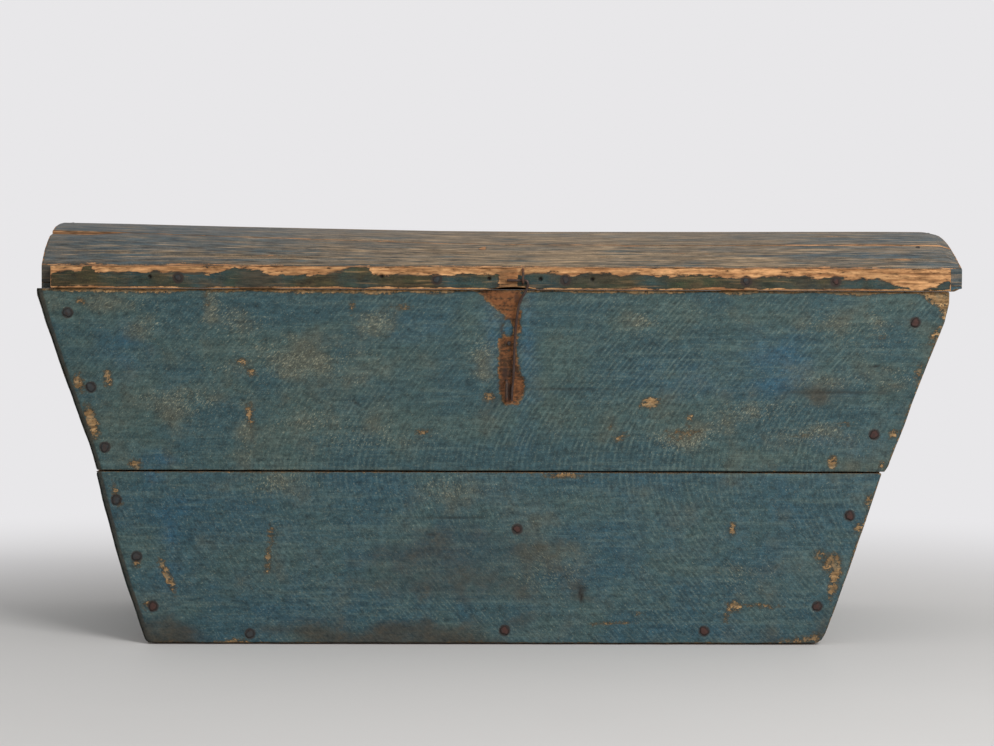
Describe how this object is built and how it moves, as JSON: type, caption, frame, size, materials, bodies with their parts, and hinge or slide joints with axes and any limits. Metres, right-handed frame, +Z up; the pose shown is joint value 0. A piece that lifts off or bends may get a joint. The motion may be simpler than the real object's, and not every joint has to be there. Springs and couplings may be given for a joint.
{
  "type": "storage trunk",
  "caption": "Old painted pine trunk with splayed ends, two-board walls, a domed hinged lid and a swinging wire hook latch beside a staple.",
  "frame": {"origin": "on the underside of the bottom boards, below the middle of the box's rim", "axes": "+X to the right along the length, the front faces -Y, +Z up"},
  "size_m": [1.1105, 0.4042, 0.5026],
  "materials": {
    "blue_paint": "thin worn blue-grey paint over saw-marked pine",
    "worn_lid_paint": "paint rubbed through to grey and tan pine",
    "aged_pine": "bare aged pine",
    "forged_iron": "dark forged iron with brown rust",
    "rusty_nail_iron": "rusty hammered nail heads"
  },
  "bodies": {
    "box": {"front_upper_board": "blue_paint", "front_lower_board": "blue_paint", "back_upper_board": "blue_paint", "back_lower_board": "blue_paint", "left_end_upper_board": "blue_paint", "left_end_lower_board": "blue_paint", "right_end_upper_board": "blue_paint", "right_end_lower_board": "blue_paint", "bottom_front_board": "aged_pine", "bottom_rear_board": "aged_pine", "front_inner_batten": "aged_pine", "hinge_left_strap": "forged_iron", "hinge_right_strap": "forged_iron", "hinge_left_pin": "forged_iron", "hinge_right_pin": "forged_iron", "box_staple": "forged_iron", "front_left_nail_1": "rusty_nail_iron", "front_left_nail_2": "rusty_nail_iron", "front_left_nail_3": "rusty_nail_iron", "front_left_nail_4": "rusty_nail_iron", "front_left_nail_5": "rusty_nail_iron", "front_left_nail_6": "rusty_nail_iron", "front_right_nail_1": "rusty_nail_iron", "front_right_nail_2": "rusty_nail_iron", "front_right_nail_3": "rusty_nail_iron", "front_right_nail_4": "rusty_nail_iron", "front_bottom_nail_1": "rusty_nail_iron", "front_bottom_nail_2": "rusty_nail_iron", "front_bottom_nail_3": "rusty_nail_iron", "batten_nail_1": "rusty_nail_iron", "batten_nail_2": "rusty_nail_iron", "hinge_strap_nail_1": "rusty_nail_iron", "hinge_strap_nail_2": "rusty_nail_iron", "hinge_strap_nail_3": "rusty_nail_iron", "hinge_strap_nail_4": "rusty_nail_iron", "hinge_strap_nail_5": "rusty_nail_iron", "hinge_strap_nail_6": "rusty_nail_iron"},
    "lid": {"lid_stave_front": "worn_lid_paint", "lid_stave_front_middle": "worn_lid_paint", "lid_stave_crest": "worn_lid_paint", "lid_stave_rear_middle": "worn_lid_paint", "lid_stave_rear": "worn_lid_paint", "lid_front_strip": "worn_lid_paint", "lid_back_rail": "blue_paint", "lid_left_cleat": "blue_paint", "lid_right_cleat": "blue_paint", "hinge_left_leaf": "forged_iron", "hinge_right_leaf": "forged_iron", "lid_staple": "forged_iron", "lid_strip_nail_1": "rusty_nail_iron", "lid_strip_nail_2": "rusty_nail_iron", "lid_strip_nail_3": "rusty_nail_iron", "lid_strip_nail_4": "rusty_nail_iron", "lid_strip_nail_5": "rusty_nail_iron", "hinge_leaf_nail_1": "rusty_nail_iron", "hinge_leaf_nail_2": "rusty_nail_iron", "hinge_leaf_nail_3": "rusty_nail_iron", "hinge_leaf_nail_4": "rusty_nail_iron"},
    "hook": {"latch_hook": "forged_iron"}
  },
  "joints": [
    {"name": "lid_hinge", "type": "hinge", "parent": "box", "child": "lid", "pos_m": [0.009, 0.1962, 0.4273], "axis": [-1, 0, 0], "range_deg": [0, 105]},
    {"name": "hook_swing", "type": "hinge", "parent": "lid", "child": "hook", "pos_m": [0.032, -0.1974, 0.43855], "axis": [-1, 0, 0], "range_deg": [0, 120]}
  ]
}
